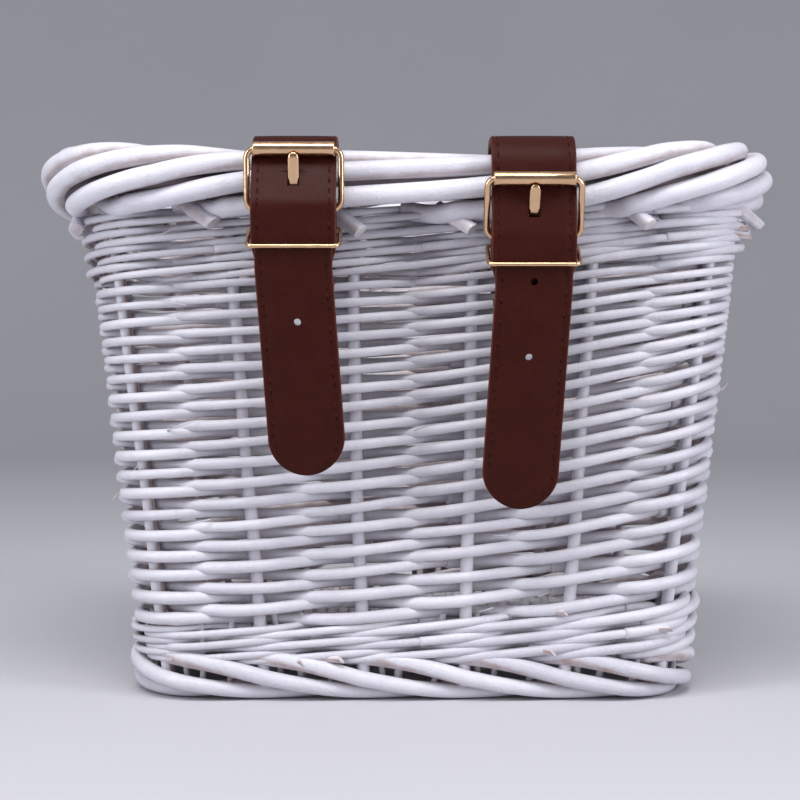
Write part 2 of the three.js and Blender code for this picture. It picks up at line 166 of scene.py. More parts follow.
def piece(name, vertices, faces, material, values=None, sharp=50):
    """A mesh object from vertices in mm. values are numbers or vectors for each vertex."""
    mesh = bpy.data.meshes.new(name)
    mesh.from_pydata((np.asarray(vertices) * MM).tolist(), [], faces)
    for key, data in (values or {}).items():
        data = np.asarray(data, np.float32)
        kind = "FLOAT" if data.ndim == 1 else "FLOAT_VECTOR"
        attribute = mesh.attributes.new(key, kind, "POINT")
        attribute.data.foreach_set("value" if data.ndim == 1 else "vector", data.ravel())
    mesh.shade_smooth()
    mesh.set_sharp_from_angle(angle=math.radians(sharp))
    mesh.materials.append(material)
    made = bpy.data.objects.new(name, mesh)
    bpy.context.scene.collection.objects.link(made)
    return made


def face_outwards(made):
    """Turns all the faces of a closed mesh outwards."""
    mend = bmesh.new()
    mend.from_mesh(made.data)
    bmesh.ops.recalc_face_normals(mend, faces=mend.faces)
    mend.to_mesh(made.data)
    mend.free()
    return made


def tube_faces(rings, sides, closed=False):
    """The quads between neighbouring rings of points. closed joins the last to the first."""
    faces = []
    for i in range(rings if closed else rings - 1):
        a, b = i * sides, (i + 1) % rings * sides
        for k in range(sides):
            after = (k + 1) % sides
            faces.append((a + k, a + after, b + after, b + k))
    return faces


def solid(name, rings, material, values=None, sharp=50):
    """A closed piece drawn through rings of points, with a flat face on each end."""
    count, sides = len(rings), len(rings[0])
    faces = tube_faces(count, sides)
    faces.append(list(range(sides))[::-1])
    faces.append(list(range((count - 1) * sides, count * sides)))
    return face_outwards(piece(name, np.concatenate(rings), faces, material, values, sharp))


def unit(vectors):
    """The same directions, each 1 long."""
    return vectors / np.linalg.norm(vectors, axis=-1, keepdims=True)


def rod(points, radius, reference, slants=(0, 0), closed=False):
    """One rod: its line, its radius at each point and the side that the light reaches.
    slants are how obliquely its two ends are cut."""
    count = len(points)
    return {
        "points": np.asarray(points, float),
        "radius": np.broadcast_to(radius, count).astype(float),
        "reference": np.broadcast_to(reference, (count, 3)).astype(float),
        "slants": slants,
        "closed": closed,
    }


def rods_piece(name, rods, material, sides=10, sharp=50):
    """Many rods as one mesh. Its grain attribute is each rod unrolled: the distance along it
    and the place on its section. Its shade attribute is one number for each rod, a random tint.
    A third attribute marks painted shade together with unpainted willow: 1 underneath, 0.8
    inside the basket, 0.3 on top and 0 outside. Its cut is 1 on cut ends."""
    vertices, faces, grain, shade, bare_and_shade, cut = [], [], [], [], [], []
    total = 0
    angles = np.arange(sides) * 2 * math.pi / sides
    around = np.stack([np.cos(angles), np.sin(angles)], -1)
    ring = np.arange(sides)
    for one in rods:
        points = one["points"]
        count = len(points)
        if one["closed"]:
            ends = np.roll(points, -1, 0) - np.roll(points, 1, 0)
        else:
            ends = np.gradient(points, axis=0)
        tangent = unit(ends)
        dot = np.sum(one["reference"] * tangent, -1, keepdims=True)
        normal = unit(one["reference"] - tangent * dot)
        side = np.cross(tangent, normal)
        radius = one["radius"][:, None, None]
        body = points[:, None] + radius * (
            around[None, :, :1] * normal[:, None] + around[None, :, 1:] * side[:, None]
        )
        along = np.concatenate([[0], np.cumsum(np.linalg.norm(np.diff(points, axis=0), axis=1))])
        offset = chance.uniform(-400, 400, 3)
        tint = chance.random()
        # Painted shade together with unpainted willow: undersides count most, where shade falls
        # between the rows and the spray didn't reach, then the inner sides, and the tops least.
        under = np.where(around[:, 1] > 0, 1.0, 0.3)
        behind = 0.8 * np.clip(-around[:, 0], 0, 1)
        bare_and_shade_by_side = np.maximum((1 - np.abs(around[:, 0])) * under, behind)
        section = one["radius"][:, None, None] * around[None]
        texture = np.concatenate(
            [np.broadcast_to(along[:, None, None], (count, sides, 1)), section], -1) + offset
        start = total
        if not one["closed"]:
            for end in (0, -1):
                body[end] += one["slants"][end] * one["radius"][end] * around[:, :1] * tangent[end]
        vertices.append(body.reshape(-1, 3))
        grain.append(texture.reshape(-1, 3))
        bare_and_shade.append(np.broadcast_to(bare_and_shade_by_side, (count, sides)).ravel())
        cut.append(np.zeros(count * sides))
        total += count * sides
        rows = count if one["closed"] else count - 1
        a = start + np.arange(rows)[:, None] * sides + ring
        b = start + np.arange(rows)[:, None] * sides + (ring + 1) % sides
        wrap = count * sides
        ahead = (a - start + sides) % wrap + start
        ahead_b = (b - start + sides) % wrap + start
        faces.extend(np.stack([a, b, ahead_b, ahead], -1).reshape(-1, 4).tolist())
        if not one["closed"]:
            for end, sign in ((0, -1), (-1, 1)):
                r = one["radius"][end]
                lean = one["slants"][end] * r * around[:, :1] * tangent[end]
                push = sign * 0.12 * r * tangent[end]
                inner = points[end] + 0.8 * (body[end] - lean - points[end]) + 0.8 * lean + push
                vertices.append(np.concatenate([inner, (points[end] + 1.3 * push)[None]]))
                rim = start + (0 if end == 0 else (count - 1) * sides) + ring
                inside = total + ring
                centre = total + sides
                after = (ring + 1) % sides
                quads = np.stack([rim, rim[after], inside[after], inside], -1)
                fans = np.stack([inside, inside[after], np.full(sides, centre)], -1)
                if end == 0:
                    quads, fans = quads[:, ::-1], fans[:, ::-1]
                faces.extend(quads.tolist())
                faces.extend(fans.tolist())
                grain.append(np.concatenate([texture[end], texture[end].mean(0)[None]]))
                bare_and_shade.append(np.zeros(sides + 1))
                cut.append(np.concatenate([np.full(sides, 0.7), [1.0]]))
                total += sides + 1
        shade.append(np.full(total - start, tint))
    values = {
        "grain": np.concatenate(grain) * MM, "shade": np.concatenate(shade),
        "bare_and_shade": np.concatenate(bare_and_shade), "cut": np.concatenate(cut)}
    return piece(name, np.concatenate(vertices), faces, material, values, sharp)


def uneven(length_points, radius, start=1.0, end=1.0):
    """A willow rod's radius: it tapers from butt to tip, swells a little at its knots and is
    never quite round."""
    count = len(length_points)
    taper = np.linspace(start, end, count)
    phase = chance.uniform(0, 2 * math.pi, 2)
    along = np.arange(count)
    ripple = 0.02 * np.sin(along / 4.7 + phase[0]) + 0.015 * np.sin(along / 2.3 + phase[1])
    knots = np.zeros(count)
    for place in chance.uniform(0, count, max(1, count // 70)):
        knots += 0.10 * np.exp(-((along - place) / 1.1) ** 2)
    return radius * (taper + ripple + knots)


# --------------------
# Materials


def linear(hex_colour):
    """An sRGB colour as the linear one that a shader takes."""
    channels = [int(hex_colour[i : i + 2], 16) / 255 for i in (1, 3, 5)]
    return [c / 12.92 if c <= 0.04045 else ((c + 0.055) / 1.055) ** 2.4 for c in channels] + [1]


def give(tree, node, inputs):
    """Gives each socket of a node a value, or links it to a socket or a node's first output."""
    for key, value in inputs.items():
        if isinstance(value, bpy.types.Node):
            value = value.outputs[0]
        if isinstance(value, bpy.types.NodeSocket):
            tree.links.new(value, node.inputs[key])
        else:
            node.inputs[key].default_value = value


def add(tree, kind, inputs=None, **settings):
    """Adds a shader node of some kind, with its own settings and its inputs."""
    made = tree.nodes.new("ShaderNode" + kind)
    for key, value in settings.items():
        setattr(made, key, value)
    give(tree, made, inputs or {})
    return made


def new_material(name):
    """An empty material with its shader: the material, its node tree and the shader."""
    made = bpy.data.materials.new(name)
    made.use_nodes = True
    shader = made.node_tree.nodes["Principled BSDF"]
    return made, made.node_tree, shader


def painted_willow(name, light, shaded, wood, bare_and_shade_amount, gloss):
    """White paint over peeled willow. Long streaks of the wood's grain show through the
    paint, and cut ends show paler wood. The rods turn brownish underneath and inside: partly
    unpainted willow where the spray didn't reach, partly painted shade between the rods."""
    material, tree, shader = new_material(name)
    grain = add(tree, "Attribute", attribute_name="grain").outputs["Vector"]
    shade = add(tree, "Attribute", attribute_name="shade").outputs["Fac"]
    bare_and_shade = add(tree, "Attribute", attribute_name="bare_and_shade").outputs["Fac"]
    cut = add(tree, "Attribute", attribute_name="cut").outputs["Fac"]

    # Fibres about 0.4 mm wide and 8 mm long.
    stretched = add(tree, "Mapping", {"Vector": grain, "Scale": (120, 2400, 2400)})
    fibres = add(
        tree, "TexNoise",
        {"Vector": stretched, "Scale": 1, "Detail": 4, "Roughness": 0.6})
    # Thick and thin paint, in patches of about 6 mm.
    patches = add(tree, "TexNoise", {"Vector": grain, "Scale": 170, "Detail": 3, "Roughness": 0.6})
    # Blobs of dried paint and pores, about 1 mm.
    blobs = add(tree, "TexNoise", {"Vector": grain, "Scale": 900, "Detail": 2, "Roughness": 0.5})
    blob_height = add(
        tree, "MapRange",
        {"Value": blobs, "From Min": 0.56, "From Max": 0.72, "To Min": 0, "To Max": 1})

    tone = add(tree, "Math", {0: shade, 1: 0.55}, operation="MULTIPLY")
    toned = add(tree, "Math", {0: patches, 1: 0.6, 2: tone}, operation="MULTIPLY_ADD")
    paint = add(tree, "Mix", {0: toned, 6: linear(light), 7: linear(shaded)}, data_type="RGBA")

    # Painted shade and unpainted willow below the rods: the fibre noise breaks the paint's edge.
    edge = add(tree, "Math", {0: fibres, 1: 0.5, 2: bare_and_shade}, operation="MULTIPLY_ADD")
    edge_patch = add(tree, "Math", {0: patches, 1: 0.7, 2: edge}, operation="MULTIPLY_ADD")
    unpainted_and_shaded = add(
        tree, "MapRange",
        {"Value": edge_patch, "From Min": 1.0, "From Max": 1.6, "To Min": 0,
         "To Max": bare_and_shade_amount})
    paint_with_bare_and_shade = add(tree, "Mix", {0: unpainted_and_shaded, 6: paint.outputs[2], 7: linear(wood)}, data_type="RGBA")
    end_grain = add(tree, "Math", {0: cut, 1: 0.45}, operation="MULTIPLY")
    ended = add(
        tree, "Mix",
        {0: end_grain, 6: paint_with_bare_and_shade.outputs[2], 7: linear("#b9a894")}, data_type="RGBA")

    rough = add(
        tree, "MapRange",
        {"Value": patches, "From Min": 0.3, "From Max": 0.7, "To Min": gloss,
         "To Max": gloss + 0.2})
    rougher = add(tree, "Math", {0: unpainted_and_shaded, 1: 0.3, 2: rough}, operation="MULTIPLY_ADD")

    # The fibres are 0.08 mm deep under the paint, and the blobs stand 0.15 mm proud.
    grooves = add(tree, "Bump", {"Height": fibres, "Strength": 0.55, "Distance": 0.00016})
    lumps = add(
        tree, "Bump",
        {"Height": blob_height, "Strength": 0.5, "Distance": 0.00018,
         "Normal": grooves})
    give(tree, shader, {
        "Base Color": ended.outputs[2], "Roughness": rougher, "IOR": 1.5, "Normal": lumps})
    return material


# The third colour is unpainted willow, shown below and inside the rods both where the spray didn't
# reach and as painted shade. The number after it is how much of it shows.
THIN_WILLOW = painted_willow(
    "white paint on thin willow", "#dbdae1", "#bcbac4", "#97776b", 0.85, 0.32)
THICK_WILLOW = painted_willow(
    "white paint on thick willow", "#e0dfe6", "#c8c6d1", "#8f7266", 0.6, 0.3)
# Painted shade: the core is half-painted willow, made much darker to stand for the shade inside the
# rolled border.
SHADED_CORE_WILLOW = painted_willow(
    "half painted and shaded willow inside the borders", "#8f8489", "#6d5e5f", "#5d463c", 0.8, 0.6)


def leather():
    """Smooth brown coated leather: a fine pebbled grain under a satin coat, a little lighter in
    slow patches of dye and handling, with paler cut edges."""
    material, tree, shader = new_material("brown coated leather")
    place = add(tree, "TexCoord").outputs["Object"]
    edge = add(tree, "Attribute", attribute_name="edge").outputs["Fac"]
    # Pebbles of about 0.7 mm, broken up so that they aren't a net.
    warp = add(tree, "TexNoise", {"Vector": place, "Scale": 900, "Detail": 2, "Roughness": 0.6})
    shifted = add(
        tree, "VectorMath",
        {0: warp.outputs["Color"], 1: (0.0008, 0.0008, 0.0008), 2: place}, operation="MULTIPLY_ADD")
    pebbles = add(
        tree, "TexVoronoi",
        {"Vector": shifted, "Scale": 1500, "Randomness": 1},
        feature="DISTANCE_TO_EDGE")
    crease = add(
        tree, "MapRange",
        {"Value": pebbles.outputs["Distance"], "From Min": 0, "From Max": 0.22, "To Min": 0,
         "To Max": 1})
    # Slow changes of dye and handling, in patches of about 10 mm.
    dye = add(tree, "TexNoise", {"Vector": place, "Scale": 95, "Detail": 4, "Roughness": 0.6})
    body = add(tree, "Mix", {0: dye, 6: linear("#2e0c06"), 7: linear("#42140a")}, data_type="RGBA")
    # Painted shade: the grain's creases are darker than the pebbles.
    crease_shaded = add(
        tree, "Mix",
        {0: crease, 6: linear("#2b0b06"), 7: body.outputs[2]}, data_type="RGBA")
    edge_share = add(tree, "Math", {0: edge, 1: 0.55}, operation="MULTIPLY")
    edged = add(
        tree, "Mix",
        {0: edge_share, 6: crease_shaded.outputs[2], 7: linear("#6a3527")}, data_type="RGBA")
    rough = add(
        tree, "MapRange",
        {"Value": dye, "From Min": 0.3, "From Max": 0.7, "To Min": 0.4, "To Max": 0.54})
    # The creases are about 0.05 mm deep.
    grain = add(tree, "Bump", {"Height": crease, "Strength": 0.35, "Distance": 0.00006})
    give(tree, shader, {
        "Base Color": edged.outputs[2], "Roughness": rough, "IOR": 1.45,
        "Specular IOR Level": 0.15, "Normal": grain})
    return material


def thread():
    """Waxed dark red thread: two plies twisted at a slant, with a dull sheen, and with painted
    shade in the grooves between the plies.
    """
    material, tree, shader = new_material("waxed thread")
    place = add(tree, "TexCoord").outputs["Object"]
    plies = add(
        tree, "TexWave",
        {"Vector": place, "Scale": 260, "Distortion": 1.5, "Detail": 2}, bands_direction="DIAGONAL")
    # Painted shade: dark in the grooves between the plies, lighter on their crowns.
    twist = add(
        tree, "Mix",
        {0: plies.outputs["Fac"], 6: linear("#1c0705"), 7: linear("#43160f")}, data_type="RGBA")
    ridge = add(
        tree, "Bump",
        {"Height": plies.outputs["Fac"], "Strength": 0.4, "Distance": 0.00008})
    give(tree, shader, {
        "Base Color": twist.outputs[2], "Roughness": 0.7, "IOR": 1.5,
        "Specular IOR Level": 0.1, "Normal": ridge})
    return material


def rose_gold():
    """Pale rose gold plating on wire and sheet: bright, with fine hairline scratches and the
    slight cloudiness of handled plating."""
    material, tree, shader = new_material("rose gold plating")
    place = add(tree, "TexCoord").outputs["Object"]
    clouds = add(tree, "TexNoise", {"Vector": place, "Scale": 240, "Detail": 4, "Roughness": 0.6})
    tone = add(
        tree, "Mix",
        {0: clouds, 6: linear("#cfa47c"), 7: linear("#e6c49f")}, data_type="RGBA")
    # Hairlines about 0.1 mm apart, across the metal.
    lines = add(tree, "Mapping", {"Vector": place, "Scale": (400, 5200, 5200)})
    hair = add(tree, "TexNoise", {"Vector": lines, "Scale": 1, "Detail": 3, "Roughness": 0.7})
    mixed = add(tree, "Math", {0: hair, 1: clouds}, operation="MULTIPLY")
    rough = add(
        tree, "MapRange",
        {"Value": mixed, "From Min": 0.1, "From Max": 0.4, "To Min": 0.13,
         "To Max": 0.3})
    scratches = add(tree, "Bump", {"Height": hair, "Strength": 0.12, "Distance": 0.00003})
    give(tree, shader, {
        "Base Color": tone.outputs[2], "Metallic": 1, "Roughness": rough, "Normal": scratches})
    return material


LEATHER = leather()
THREAD = thread()
GOLD = rose_gold()


def dress(made, body, slot, *nodes):
    """made rides on a CAD body and stands for CAD nodes. slot is not used."""
    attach(made, body)
    if nodes:
        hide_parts(*nodes)


def willow(name, rods, *nodes, material=THIN_WILLOW, sides=10):
    """Rods of the basket as one painted piece, which stands for CAD nodes."""
    dress(rods_piece(name, rods, material, sides), "basket", "painted_willow", *nodes)


# --------------------
# The siding: single rods, each in front of one stake and behind the next

STAKE_RADIUS = 2
STEP = 2.2
SIDING_LOW, SIDING_HIGH = low_high("siding_weave")
ROWS = 36
FIRST_ROW = SIDING_LOW[2] + 1.4
LAST_ROW = SIDING_HIGH[2] - 1.2
ROW_SQUEEZE = 0.26


def stake_at(j):
    """How far round the wall stake j stands."""
    return (j + 0.5) * BAY


def row_height(i):
    """Rows are further apart near the foot, where the rods are thicker."""
    u = i / (ROWS - 1)
    return FIRST_ROW + (LAST_ROW - FIRST_ROW) * (u * (1 + ROW_SQUEEZE) - ROW_SQUEEZE * u * u)


def siding_rods(rows):
    """The rods of some rows: three rods make each row, and overlap inside the basket."""
    rods = []
    for i in rows:
        height = row_height(i) + chance.uniform(-0.3, 0.3)
        radius = float(np.interp(i, [0, ROWS / 2, ROWS - 1], [2.3, 1.95, 1.55]))
        lean = chance.uniform(0.3, 0.9)
        sign = 1 if i % 2 else -1
        reach = STAKE_RADIUS + radius - 0.25
        inner = [j for j in range(STAKES) if sign * (-1) ** j < 0]
        cuts = sorted(chance.choice(inner, 3, replace=False))
        for k, begin in enumerate(cuts):
            finish = cuts[(k + 1) % len(cuts)]
            finish += STAKES if finish <= begin else 0
            s = np.arange(stake_at(begin) - 8, stake_at(finish) + 9, STEP)
            phase = math.pi * (s / BAY - 0.5)
            out = sign * reach * np.cos(phase)
            share = np.linspace(0, 1, len(s))
            # The finishing end lies further in, so that the next rod starts over it.
            tuck = np.clip((s - stake_at(finish) + 22) / 22, 0, 1)
            out = out - 2.2 * tuck * tuck
            z = height + sign * lean * np.sin(phase) + wander(s, height, 0.26)
            z = tilted(s, z + 0.25 * np.sin(share * 9 + i))
            thick = uneven(s, radius, 1.07, 0.88)
            rods.append(rod(wall(s, z, out), thick, outward(s), (0.3, 0.4)))
    return rods


willow("siding_weave_lower", siding_rods(range(ROWS // 2)), "siding_weave")
willow("siding_weave_upper", siding_rods(range(ROWS // 2, ROWS)), "siding_weave")

# --------------------
# The wales: three rods twisted round the stakes, each in front of two and behind one


def wale_rods(low, high, radius, rounds, strand, thicker):
    """Three weavers that climb round the wall together. strand is the height between two
    that lie one above the other, and thicker how much more willow there is on the right."""
    rods = []
    climb = 2 * strand
    middle = (low + high) / 2
    reach = (STAKE_RADIUS + radius - 0.3) / 0.87
    for weaver in range(3):
        s = np.arange(PERIMETER / 2, PERIMETER * (rounds + 0.5), STEP) + weaver * BAY
        turn = np.mod(s / BAY - 0.5 - weaver, 3)
        out = reach * np.tanh(1.8 * (0.25 - np.cos(2 * math.pi * turn / 3)))
        front = np.clip((turn - 0.5) / 2, 0, 1)
        back = np.where(turn < 0.5, turn + 0.5, turn - 2.5)
        rise = np.where((turn >= 0.5) & (turn <= 2.5), front - 0.5, 0.5 * np.cos(math.pi * back))
        out = out + np.where(out > 0, 0.8 * rise, 0)
        z = middle + climb * (s / PERIMETER - 0.5 - rounds / 2) + strand * 2.1 * rise
        z = tilted(s, z + wander(s, z, 0.18))
        side = 1 + thicker * plan(s)[0] / HALF_WIDTH
        pieces = np.array_split(np.arange(len(s)), rounds * 2 + weaver % 2)
        for k, part in enumerate(pieces):
            part = np.arange(part[0], min(part[-1] + 6, len(s)))
            thick = uneven(part, radius, 1.06, 0.9) * side[part]
            ends = np.zeros(len(part))
            ends[-6:] = np.linspace(0, 1.6, 6)
            points = wall(s[part], z[part] - 0.3 * ends, out[part] - ends)
            rods.append(rod(points, thick, outward(s[part]), (0.3, -0.4)))
    return rods


WALE_LOW, WALE_HIGH = low_high("bottom_wale")
bottom = wale_rods(WALE_LOW[2] - 1.5, WALE_HIGH[2] - 1, 1.65, 3, 2.4, 0.24)
willow("bottom_wale_rods", bottom, "bottom_wale")
top = wale_rods(RIM_WALE_LOW[2], RIM_WALE_HIGH[2] + 5.5, 1.5, 4, 2.8, 0.1)
willow("top_wale_rods", top, "top_wale")

# --------------------
# The stakes, and the thin liners beside them under the bottom wale

stake_rods = []
liner_rods = []
for j in range(STAKES):
    z = np.arange(3.5, 187, 3.0)
    s = stake_at(j) + 0.5 * np.sin(z / 37 + j) + 0.2 * np.sin(z / 11 + 2 * j)
    out = 0.5 + 0.15 * np.sin(z / 29 + j)
    thick = uneven(z, STAKE_RADIUS + 0.3, 1.04, 0.97)
    stake_rods.append(rod(wall(s, z, out), thick, outward(s)))
    for shift, lean in ((-13, 3.5), (8, -1.5), (15, 2.0)):
        z = np.arange(5, 33, 2.0)
        s = stake_at(j) + shift + chance.uniform(-2, 2) + lean * (z - 5) / 28
        radius = chance.uniform(1.15, 1.6)
        inside = chance.uniform(-1.8, -0.4)
        liner_rods.append(rod(wall(s, z, inside), uneven(z, radius), outward(s), (0.4, 0.4)))
willow("stakes", stake_rods, *[f"stake_{j + 1:02d}" for j in range(STAKES)], sides=12)
willow("liners", liner_rods, "foot_border", sides=8)

# --------------------
# The rim border: thick stakes turned down, rolled over each other to the right

BORDER_RODS = 16
BORDER_OUT = (RIM_HIGH[0] - HALF_WIDTH) - 12.5
BORDER_Z = RIM_HIGH[2] - 13.7
BORDER_RADIUS_OUT = 8.8
BORDER_RADIUS_Z = 9.3
# How far round the wall a back corner's middle lies, and how far its lift spreads.
BACK_CORNER_S = 112
CORNER_SPREAD = 48
# How far round the section a rod has turned where its hook ends, and where it is cut.
HOOK_TURN = 62
ROLL_TURN = 315


def corner_share(s):
    """1 at the two back corners, falling to 0 along the sides."""
    near = np.zeros_like(s, dtype=float)
    for corner in (BACK_CORNER_S, PERIMETER - BACK_CORNER_S):
        apart = np.abs(np.mod(s - corner + PERIMETER / 2, PERIMETER) - PERIMETER / 2)
        near = near + np.exp(-((apart / CORNER_SPREAD) ** 2))
    return near


def border_out(s):
    """The border overhangs less on the right than on the left."""
    right = np.clip(plan(s)[0] / HALF_WIDTH, -1, 1)
    return BORDER_OUT - 1.2 - 4.2 * np.clip(right, 0, 1) ** 2


TWIST_S = np.linspace(0, PERIMETER, 2001)
TWIST_RATE = 0.5 + 2.1 * corner_share(TWIST_S)
TWIST_RATE[(TWIST_S > 200) & (TWIST_S < PERIMETER - 200)] = 1.15
TWIST_RATE = np.convolve(np.pad(TWIST_RATE, 60, mode="wrap"), np.ones(121) / 121, "valid")
TWIST = np.concatenate([[0], np.cumsum((TWIST_RATE[1:] + TWIST_RATE[:-1]) / 2 * np.diff(TWIST_S))])
TURN = TWIST[-1]
SPACING = TURN / BORDER_RODS


def twist(s):
    """How far the border's rods have turned, s mm round the rim."""
    return np.interp(np.mod(s, PERIMETER), TWIST_S, TWIST) + TURN * np.floor(s / PERIMETER)


def untwist(angle):
    """How far round the rim the rods have turned by an angle."""
    return np.interp(np.mod(angle, TURN), TWIST, TWIST_S) + PERIMETER * np.floor(angle / TURN)


def border_point(s, angle, grow=0.0):
    """A point on the border's oval section: angle 0 is outside, 90 on top, 180 inside."""
    a = np.radians(angle)
    right = np.clip(plan(s)[0] / HALF_WIDTH, 0, 1)
    lift = corner_share(s) * (2.6 + 1.4 * right) + wander(s, 0 * s, 0.35)
    out = border_out(s) + (BORDER_RADIUS_OUT + grow) * np.cos(a)
    z = BORDER_Z + (BORDER_RADIUS_Z + grow) * np.sin(a) + lift
    return wall(s, z, out)


def border_normal(s, angle):
    """The way out of the border's section at an angle."""
    a = np.radians(angle)[..., None]
    return outward(s) * np.cos(a) + np.array([0, 0, 1.0]) * np.sin(a)


border_rods = []
for k in range(BORDER_RODS):
    # The first part is the hook, where the stake comes out from under the border.
    hooked = np.linspace(0, HOOK_TURN, 15)[:-1]
    swept = np.concatenate([hooked, np.linspace(HOOK_TURN, ROLL_TURN, 95)])
    start = k * SPACING + chance.uniform(-4, 4)
    hook = np.clip(1 - swept / HOOK_TURN, 0, 1)
    s = untwist(start + np.maximum(swept, HOOK_TURN)) - 13 * hook - 5 * hook * hook
    angle = -128 + swept
    grow = 0.35 * np.sin(swept / 40 + k) - 1.2 * np.clip((swept - 270) / 45, 0, 1)
    radius = 3.5 * np.interp(swept, [0, HOOK_TURN, 200, ROLL_TURN], [0.94, 1.03, 0.98, 0.82])
    radius = radius * (1 + 0.03 * np.sin(swept / 7 + 2 * k) * np.sin(swept / 23 + k))
    points = border_point(s, angle, grow)
    border_rods.append(rod(points, radius, border_normal(s, angle), (0.2, 0.9)))
willow("rim_border_rods", border_rods, "rim_border", material=THICK_WILLOW, sides=16)

# Under the rolled rods, the stakes' own bundle goes round the rim. Its dark colour is
# painted shade, seen through the gaps between the rolled rods.
core_rods = []
ring_s = np.arange(0, PERIMETER, 3.0)
for k, (angle, size) in enumerate(((-150, 2.6), (-60, 2.6), (30, 2.8), (120, 2.8), (205, 2.6))):
    turned = angle + ring_s / PERIMETER * 360
    a = np.radians(turned)
    lift = 2.4 * corner_share(ring_s)
    points = wall(ring_s, BORDER_Z + 3.3 * np.sin(a) + lift, border_out(ring_s) + 3.3 * np.cos(a))
    core_rods.append(rod(points, size, border_normal(ring_s, turned), closed=True))
willow("rim_core_rods", core_rods, "rim_border", material=SHADED_CORE_WILLOW)

# Cut ends stick out below the border, pointing down and to the right.
end_rods = []
for k in range(20):
    base = PERIMETER * (k + chance.uniform(0.1, 0.7)) / 20
    size = chance.uniform(2.3, 2.9)
    length = chance.uniform(9, 14)
    travel = np.linspace(0, 1, 9)
    s = base + travel * length
    out = 2.0 + travel * chance.uniform(5.5, 8)
    z = RIM_LEVEL + 5 - travel * chance.uniform(6, 9)
    points = wall(s, z + 2.0 * corner_share(s), out)
    end_rods.append(rod(points, uneven(s, size), (0, 0, 1), (0, chance.uniform(0.1, 0.35))))
willow("rim_rod_ends", end_rods, "rim_border", material=THICK_WILLOW, sides=14)

# --------------------
# The foot border: each rod starts beside a stake and sweeps down and to the right

foot_rods = []
for j in range(STAKES):
    travel = np.concatenate([np.linspace(0, 0.16, 12)[:-1], np.linspace(0.16, 1, 46)])
    angle = np.interp(travel, [0, 0.07, 0.16, 0.45, 0.7, 1], [124, 104, 78, -5, -80, -152])
    run = np.interp(travel, [0, 0.05, 0.1, 0.16, 1], [1, 0, 2, 8, 142])
    s = stake_at(j) - 9 + run + chance.uniform(-3, 3)
    a = np.radians(angle)
    up = np.where(a > 0, 7.6, 5.2)
    z = 8.3 + up * np.sin(a)
    out = 0.4 + 4.1 * np.cos(a)
    radius = 2.85 * np.interp(
        travel, [0, 0.02, 0.05, 0.14, 0.5, 1], [0.6, 1.0, 1.18, 1.08, 1, 0.86])
    z = np.maximum(z, radius + 0.1)
    reference = outward(s) * np.cos(a)[:, None] + np.array([0, 0, 1.0]) * np.sin(a)[:, None]
    foot_rods.append(rod(wall(s, z, out), radius, reference, (0.2, 0.8)))
willow("foot_border_rods", foot_rods, "foot_border", sides=14)

# --------------------
# The floor: five sticks from side to side, woven across from back to front

FLOOR_LOW, FLOOR_HIGH = low_high("floor_weave")
FLOOR_Z = (FLOOR_LOW[2] + FLOOR_HIGH[2]) / 2
stick_rods = []
stick_places = []
for k in range(5):
    low, high = low_high(f"floor_stick_{k + 1}")
    y = (low[1] + high[1]) / 2
    x = np.arange(low[0], high[0], 3.0)
    stick_places.append(y)
    points = np.stack([x, y + 0.4 * np.sin(x / 40 + k), FLOOR_Z + 0 * x], -1)
    stick_rods.append(rod(points, uneven(x, 2.4), (0, 0, 1.0)))
willow("floor_sticks", stick_rods, *[f"floor_stick_{k + 1}" for k in range(5)])

outline = wall(np.arange(0, PERIMETER, 1.5), np.full(int(PERIMETER / 1.5) + 1, FLOOR_Z), -6.5)
floor_rods = []
weaver_x = np.arange(FLOOR_LOW[0] + 4, FLOOR_HIGH[0] - 3, 4.3)
stick_gap = stick_places[1] - stick_places[0]
for k, x in enumerate(weaver_x):
    near = outline[np.abs(outline[:, 0] - x) < 2.5]
    y = np.arange(near[:, 1].min(), near[:, 1].max(), 2.2)
    side = 1 if k % 2 else -1
    wave = np.cos(math.pi * (y - stick_places[0]) / stick_gap)
    z = FLOOR_Z + side * wave * 1.9
    points = np.stack([x + 0.35 * np.sin(y / 13 + k) + 0 * y, y, z], -1)
    floor_rods.append(rod(points, uneven(y, 1.85, 1.05, 0.9), (0, 0, 1.0), (0.3, 0.3)))
willow("floor_weave_rods", floor_rods, "floor_weave")

# --------------------
# Splinters and short cut ends left by the weaver

bits = []
for k in range(46):
    base = chance.uniform(0, PERIMETER)
    height = chance.uniform(24, 172)
    length = chance.uniform(4, 10)
    travel = np.linspace(0, 1, 6)
    s = base + travel * length * chance.choice([-1, 1])
    out = 3.6 + travel * chance.uniform(1.4, 3.0)
    z = height + travel * chance.uniform(-2.5, 3.5)
    bits.append(rod(wall(s, z, out), np.linspace(0.28, 0.08, 6), (0, 0, 1.0)))
for k in range(22):
    low, high = ((15, 32), (158, 174))[k % 2]
    base = chance.uniform(0, PERIMETER)
    height = chance.uniform(low, high)
    travel = np.linspace(0, 1, 6)
    s = base + travel * chance.uniform(7, 12)
    out = 1.5 + travel * chance.uniform(3.6, 5.2)
    z = tilted(s, height + travel * chance.uniform(-1.5, 1.5))
    bits.append(rod(wall(s, z, out), chance.uniform(1.2, 1.6), (0, 0, 1.0), (0, -0.9)))
willow("splinters_and_ends", bits, "siding_weave", sides=8)

# --------------------
# The straps' route, in a plane seen from the basket's right: first the distance out from
# the basket's middle towards the rider, then the height

STRAP_WIDTH = 29
STRAP_HALF = 1.4
STRAP_LEAN = math.radians(6)
HEADING = -math.pi / 2 - STRAP_LEAN
RIM_WIDTH = 25
RIM_ROUNDING = 9
RIM_TURN = 10.8
FOLD = 12
WALL_BEND = 7
CREASE = 3.4
WALL_PASS_WIDTH = 26.2
